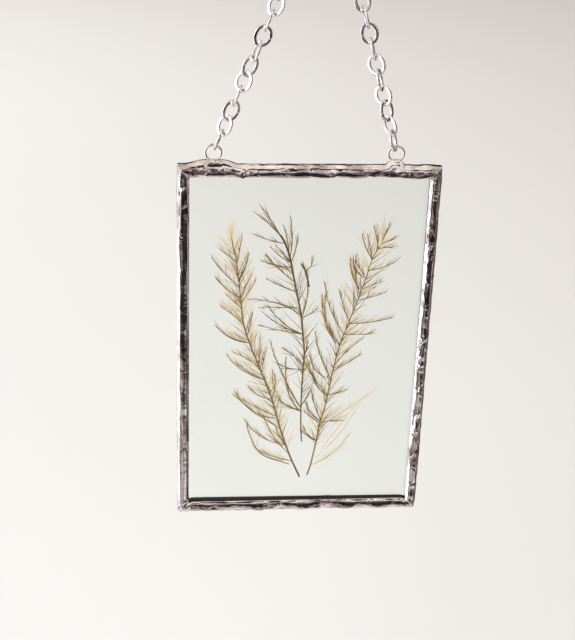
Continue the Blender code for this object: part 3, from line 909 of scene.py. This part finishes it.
# How each sprig grows. Widths and lengths are in millimetres. Tones run from 0, the darkest of
# its material, to 1, the palest, and are given at the foot and at the tip.
# stem: widths at the foot and where it turns pale. pale_from: how far up that is.
# shoot: a shoot's width at its foot. pale_shoots: share and length of those that are pale.
# lift: how far needles turn upwards. tapering: how much shorter they are at a shoot's tip.
# cream, olive: the two kinds of needles, with their level in the sprig, their gap and lengths
# along a shoot, and how many there are on the stem, up to leafy_to, with their lengths there.
# plumes: how many more cream needles there are near the top, and from where to where.
# arcs: thin curved shoots drawn through points, with their width and tone.
# flecks: knots and faint strokes, with place, length, heading in degrees, width and tone.
LEFT_HABIT = {
    "seed": 11,
    "stem": (0.84, 0.34), "stem_tones": (0.28, 0.2),
    "pale_from": 0.92, "tip_tones": (0.6, 0.9),
    "shoot": 0.29, "shoot_tones": (0.08, 0.22), "pale_shoots": ((0.68, 8), (0.82, 6)),
    "lift": (0.2, 1.1), "tapering": 0.65, "leafy_to": 0.9,
    "cream": {
        "width": 0.26, "tones": (0.85, 1.0), "level": 0.05, "gap": 0.8, "lengths": (5.0, 10.0),
        "on_stem": 260, "stem_lengths": (6, 11),
    },
    "olive": {
        "width": 0.22, "tones": (0.12, 0.34), "level": -0.05, "gap": 3.6, "lengths": (4.0, 9.0),
        "on_stem": 60, "stem_lengths": (5, 12),
    },
    "plumes": ((30, 0.88, 0.95),),
    "arcs": (
        (((-4.1, -55.2), (-15.4, -50.6), (-20.2, -43.8), (-22.9, -35.6)), 0.4, 0.05),
        (((-10.7, -32.9), (-17.5, -31.4), (-23.5, -26.6), (-28.2, -20.0)), 0.5, 0.25),
    ),
    "flecks": (
        (-27.1, 42.2, 1.2, 80, 0.55, 0.14), (-24.8, 25.5, 1.1, 100, 0.5, 0.14),
        (-16.3, -6.4, 1.1, 100, 0.5, 0.14),
    ),
}
MIDDLE_HABIT = {
    "seed": 12,
    "stem": (0.56, 0.82), "stem_tones": (0.16, 0.02),
    "pale_from": 0.86, "tip_tones": (0.1, 0.1),
    "shoot": 0.38, "shoot_tones": (0.08, 0.18), "pale_shoots": (),
    "lift": (-0.4, 0.8), "tapering": 0.75, "leafy_to": 0.75,
    "cream": {
        "width": 0.26, "tones": (0.6, 0.9), "level": 0.05, "gap": 2.2, "lengths": (4.0, 8.0),
        "on_stem": 40, "stem_lengths": (5, 9),
    },
    "olive": {
        "width": 0.25, "tones": (0.12, 0.32), "level": -0.05, "gap": 2.1, "lengths": (4.0, 9.0),
        "on_stem": 46, "stem_lengths": (5, 13),
    },
    "plumes": (),
    "arcs": (
        (((-0.7, -29.6), (-5, -27.8), (-9.3, -24), (-11.8, -17.4), (-12.6, -10.1)), 0.44, 0.05),
        (((-1.1, -29.3), (-4.3, -24.1), (-6.3, -18.4), (-7, -11), (-7, -4.6)), 0.6, 0.25),
        (((-7.4, 33.8), (-10.7, 35.1), (-13.1, 35.9), (-16.8, 40.2)), 0.4, 0.2),
        (((1.2, 26.4), (0.5, 29.9), (-0.6, 33.7), (-2.3, 36.3)), 0.75, 0.0),
        (((-0.2, 33.3), (1.8, 35.5), (2.4, 39.3)), 0.44, 0.2),
    ),
    "flecks": (
        (1.3, -1.2, 1.3, 90, 0.8, 0.05), (0, -29.1, 1.4, 95, 0.8, 0.55),
        (-1.1, 13.2, 1.3, 80, 0.8, 0.55), (6.6, 17.8, 3.5, 84, 0.5, 0.6),
    ),
}
RIGHT_HABIT = {
    "seed": 13,
    "stem": (0.7, 0.34), "stem_tones": (0.3, 0.24),
    "pale_from": 0.88, "tip_tones": (0.5, 0.8),
    "shoot": 0.32, "shoot_tones": (0.18, 0.1),
    "pale_shoots": ((0.04, 23), (0.19, 29), (0.65, 10)),
    "lift": (0.0, 1.0), "tapering": 0.65, "leafy_to": 0.88,
    "cream": {
        "width": 0.25, "tones": (0.8, 1.0), "level": 0.05, "gap": 0.9, "lengths": (5.0, 9.5),
        "on_stem": 170, "stem_lengths": (6, 11),
    },
    "olive": {
        "width": 0.25, "tones": (0.08, 0.3), "level": -0.05, "gap": 2.2, "lengths": (3.5, 8.5),
        "on_stem": 64, "stem_lengths": (5, 12),
    },
    "plumes": ((24, 0.84, 0.92),),
    "arcs": (
        (((10.9, -22.9), (6.5, -18.6), (3.7, -12.1), (1.3, -4.7)), 0.46, 0.1),
        (((9.7, -14.7), (4.9, -10.3), (2.5, -3.8)), 0.44, 0.08),
        (((13.5, 1.1), (9.5, 7.8), (7.5, 15), (6.7, 22.9)), 0.6, 0.3),
        (((8, -34.6), (3.5, -29.8), (1.7, -25.1)), 0.46, 0.08),
        (((7.1, -44.2), (4.1, -42.7), (0.9, -39.3)), 0.36, 0.15),
        (((21.7, 25.4), (18.5, 31.5), (17.4, 38.4)), 0.6, 0.32),
        (((23.1, 30.2), (19.2, 34.1), (18.6, 38.8)), 0.4, 0.15),
    ),
    "flecks": (
        (10.4, -14.6, 1.2, 75, 0.6, 0.12), (27.2, 25.5, 1.6, 30, 0.8, 0.4),
        (7.9, -35.6, 3.6, 80, 0.5, 0.7), (7.0, -52.5, 20, 46, 0.4, 0.75),
        (9.4, -48.0, 30, 54, 0.4, 0.8), (16.0, -42.0, 21, 56, 0.36, 0.75),
        (12.6, -38.0, 17, 40, 0.34, 0.7),
    ),
}

# The sprigs lie in layers of their own, this far apart, the left one in front
LAYER = 0.2

# Dark, middle and pale colour of each sprig
STRAW = ((0.066, 0.034, 0.003), (0.34, 0.205, 0.028), (0.73, 0.60, 0.39))
OLIVE = ((0.058, 0.031, 0.002), (0.34, 0.20, 0.010), (0.73, 0.57, 0.23))
CREAM = ((0.066, 0.033, 0.003), (0.34, 0.20, 0.020), (0.71, 0.59, 0.35))


def make_sprigs():
    """The three sprigs, pressed in the gap between the panes."""
    straw = plant_material("dry_straw", *STRAW)
    olive = plant_material("dry_olive", *OLIVE)
    cream = plant_material("dry_cream", *CREAM)
    for node, slot, stem, shoots, habit, depth, material in (
        ("sprig_left", "straw", LEFT_STEM, LEFT_SHOOTS, LEFT_HABIT, -LAYER, straw),
        ("sprig_middle", "olive", MIDDLE_STEM, MIDDLE_SHOOTS, MIDDLE_HABIT, 0.0, olive),
        ("sprig_right", "pale_straw", RIGHT_STEM, RIGHT_SHOOTS, RIGHT_HABIT, LAYER, cream),
    ):
        sprig = make_sprig(node, stem, shoots, habit, depth, material)
        dress(sprig, "frame", slot, node)


# Stage, light and camera
def make_stage():
    """A pale floor that curves up all round into a bowl, far from the object."""
    points = [(0.0, 0.0, FLOOR_Z)]
    rings = [(FLOOR_RADIUS * (k + 1) / FLOOR_RINGS, FLOOR_Z) for k in range(FLOOR_RINGS)]
    for k in range(1, BOWL_STEPS + 1):
        turn = pi / 2 * k / BOWL_STEPS
        rings.append((FLOOR_RADIUS + BOWL_RADIUS * sin(turn),
                      FLOOR_Z + BOWL_RADIUS * (1 - cos(turn))))
    for radius, height in rings:
        for j in range(BOWL_SIDES):
            turn = 2 * pi * j / BOWL_SIDES
            points.append((radius * cos(turn), radius * sin(turn), height))
    faces = [(0, 1 + j, 1 + (j + 1) % BOWL_SIDES) for j in range(BOWL_SIDES)]
    faces += [tuple(v + 1 for v in face)
              for face in loop_faces(len(rings), BOWL_SIDES, closed_rows=False)]
    floor = mesh_object("floor", points, faces, floor_material())
    floor.visible_glossy = False
    floor.visible_diffuse = False
    floor.visible_shadow = False


def towards(azimuth, elevation):
    """Direction from the object: azimuth 0 is the front and 90 the right, in degrees."""
    a, e = radians(azimuth), radians(elevation)
    return Vector((sin(a) * cos(e), -cos(a) * cos(e), sin(e)))


# The surrounding room: clutter in three tones, and soft patches over it, each given by azimuth,
# elevation, inner and outer radius in degrees, and colour
CLUTTER_SCALE = 4.6
ROOM_DARK = (0.016, 0.009, 0.015, 1)
ROOM_MIDDLE = (0.15, 0.115, 0.105, 1)
ROOM_PALE = (0.48, 0.43, 0.42, 1)
ROOM_PATCHES = (
    (180, 60, 40, 66, (0.62, 0.56, 0.50, 1)),
    (0, 90, 38, 60, (1.1, 0.97, 0.85, 1)),
    (-140, -12, 36, 44, (1.3, 1.3, 1.3, 1)),
    (-64, 2, 38, 46, (2.1, 2.1, 2.15, 1)),
    (0, -58, 22, 40, (0.58, 0.52, 0.50, 1)),
    (0, -90, 20, 34, (0.85, 0.79, 0.76, 1)),
    (-18, 10, 5, 11, (0.9, 0.82, 0.8, 1)),
    (29, 12, 5, 12, (1.1, 1.0, 0.96, 1)),
    (6, 27, 8, 16, (1.0, 0.9, 0.86, 1)),
    (9, -15, 9, 17, (0.04, 0.03, 0.038, 1)),
    (180, -48, 12, 30, (0.32, 0.28, 0.27, 1)),
    (78, -50, 8, 20, (0.45, 0.40, 0.40, 1)),
    (-24, -64, 6, 14, (1.2, 1.1, 1.1, 1)),
    (30, -62, 6, 13, (1.1, 1.0, 1.0, 1)),
    (4, 50, 8, 20, (0.035, 0.022, 0.038, 1)),
    (38, 4, 5, 9, (0.9, 0.84, 0.82, 1)),
    (17, 33, 4, 8, (1.5, 1.4, 1.45, 1)),
    (62, 28, 8, 15, (0.8, 0.72, 0.72, 1)),
    (-46, -11, 4, 9, (0.10, 0.08, 0.09, 1)),
    (-74, -8, 4, 9, (0.14, 0.12, 0.12, 1)),
    (-58, 24, 4, 9, (0.14, 0.12, 0.12, 1)),
    (-9, -4, 3, 6, (0.9, 0.86, 0.9, 1)),
    (30, -40, 6, 14, (0.95, 0.88, 0.86, 1)),
    (-20, -50, 4, 9, (0.8, 0.74, 0.74, 1)),
    (172, 2, 20, 32, (0.06, 0.05, 0.05, 1)),
)


def make_room():
    """The light of a bright room: a window at the left, a pale ceiling, a dim far side."""
    world = bpy.data.worlds.new("bright_room")
    bpy.context.scene.world = world
    world.use_nodes = True
    tree = world.node_tree
    direction = add_node(tree, "TexCoord").outputs["Generated"]
    clutter = add_node(tree, "TexNoise", {"Vector": direction, "Scale": CLUTTER_SCALE,
                                         "Detail": 3.0}).outputs["Fac"]
    colour = mixed(tree, in_range(tree, clutter, 0.42, 0.49), ROOM_DARK, ROOM_MIDDLE)
    colour = mixed(tree, in_range(tree, clutter, 0.53, 0.60), colour, ROOM_PALE)
    for azimuth, elevation, inner, outer, patch in ROOM_PATCHES:
        facing = add_node(tree, "VectorMath", {0: direction, 1: towards(azimuth, elevation)},
                          operation="DOT_PRODUCT")
        share = in_range(tree, facing.outputs["Value"], cos(radians(outer)), cos(radians(inner)))
        colour = mixed(tree, share, colour, patch)
    uneven = in_range(tree, clutter, 0.3, 0.7, to_low=0.6, to_high=1.15)
    tree.links.new(colour, tree.nodes["Background"].inputs["Color"])
    tree.links.new(uneven, tree.nodes["Background"].inputs["Strength"])


LAMP_COLOUR = (1.0, 0.99, 0.98)


def area_light(name, place, target, size, power, spread):
    """A square lamp that shines at a target and isn't seen in gloss or through the glass."""
    light = bpy.data.lights.new(name, "AREA")
    light.shape = "SQUARE"
    light.size = size
    light.energy = power
    light.spread = radians(spread)
    light.color = LAMP_COLOUR
    made = bpy.data.objects.new(name, light)
    made.location = place
    made.rotation_euler = (place - target).to_track_quat("Z", "Y").to_euler()
    made.visible_glossy = False
    made.visible_transmission = False
    bpy.context.scene.collection.objects.link(made)


def make_lights():
    """A window at the left of the object and a wide fill over the floor behind it."""
    area_light("window_key", place=MIDDLE + towards(-46, 32) * 1.5, target=MIDDLE, size=1.2,
               power=10.6, spread=100)
    area_light("ceiling_fill", place=Vector((-1.5, 1.5, 1.7)),
               target=Vector((-0.7, 2.2, FLOOR_Z)), size=1.8, power=64, spread=180)


def make_camera():
    """The camera, at the viewing angle of the photograph."""
    data = bpy.data.cameras.new("camera")
    data.sensor_fit = "VERTICAL"
    data.sensor_height = SENSOR_HEIGHT
    data.lens = FOCAL_PIXELS / IMAGE_HEIGHT * SENSOR_HEIGHT
    camera = bpy.data.objects.new("camera", data)
    turn = (Matrix.Rotation(pi / 2 - CAMERA_PITCH, 4, "X")
            @ Matrix.Rotation(-CAMERA_YAW, 4, "Y") @ Matrix.Rotation(-CAMERA_ROLL, 4, "Z"))
    camera.matrix_world = Matrix.Translation(MIDDLE + CAMERA_PLACE) @ turn
    bpy.context.scene.collection.objects.link(camera)
    bpy.context.scene.camera = camera


def dress_kept_nodes():
    """The panes keep their solids, with a material of their own. Clear glass lets the light of
    the lamps through to the plants, so it casts no shadow."""
    material = glass_material()
    for name in ("pane_front", "pane_back"):
        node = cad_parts[name]
        node.data.materials.clear()
        node.data.materials.append(material)
        node.visible_shadow = False


make_camera()
make_stage()
make_room()
make_lights()
dress_kept_nodes()
make_foil(foil_material())
make_solder(solder_material())
make_rings(wire_material("ring_wire", (0.88, 0.87, 0.87)))
make_chain(wire_material("chain_wire", (0.90, 0.90, 0.91)))
make_sprigs()

bpy.context.scene.view_settings.view_transform = "Standard"
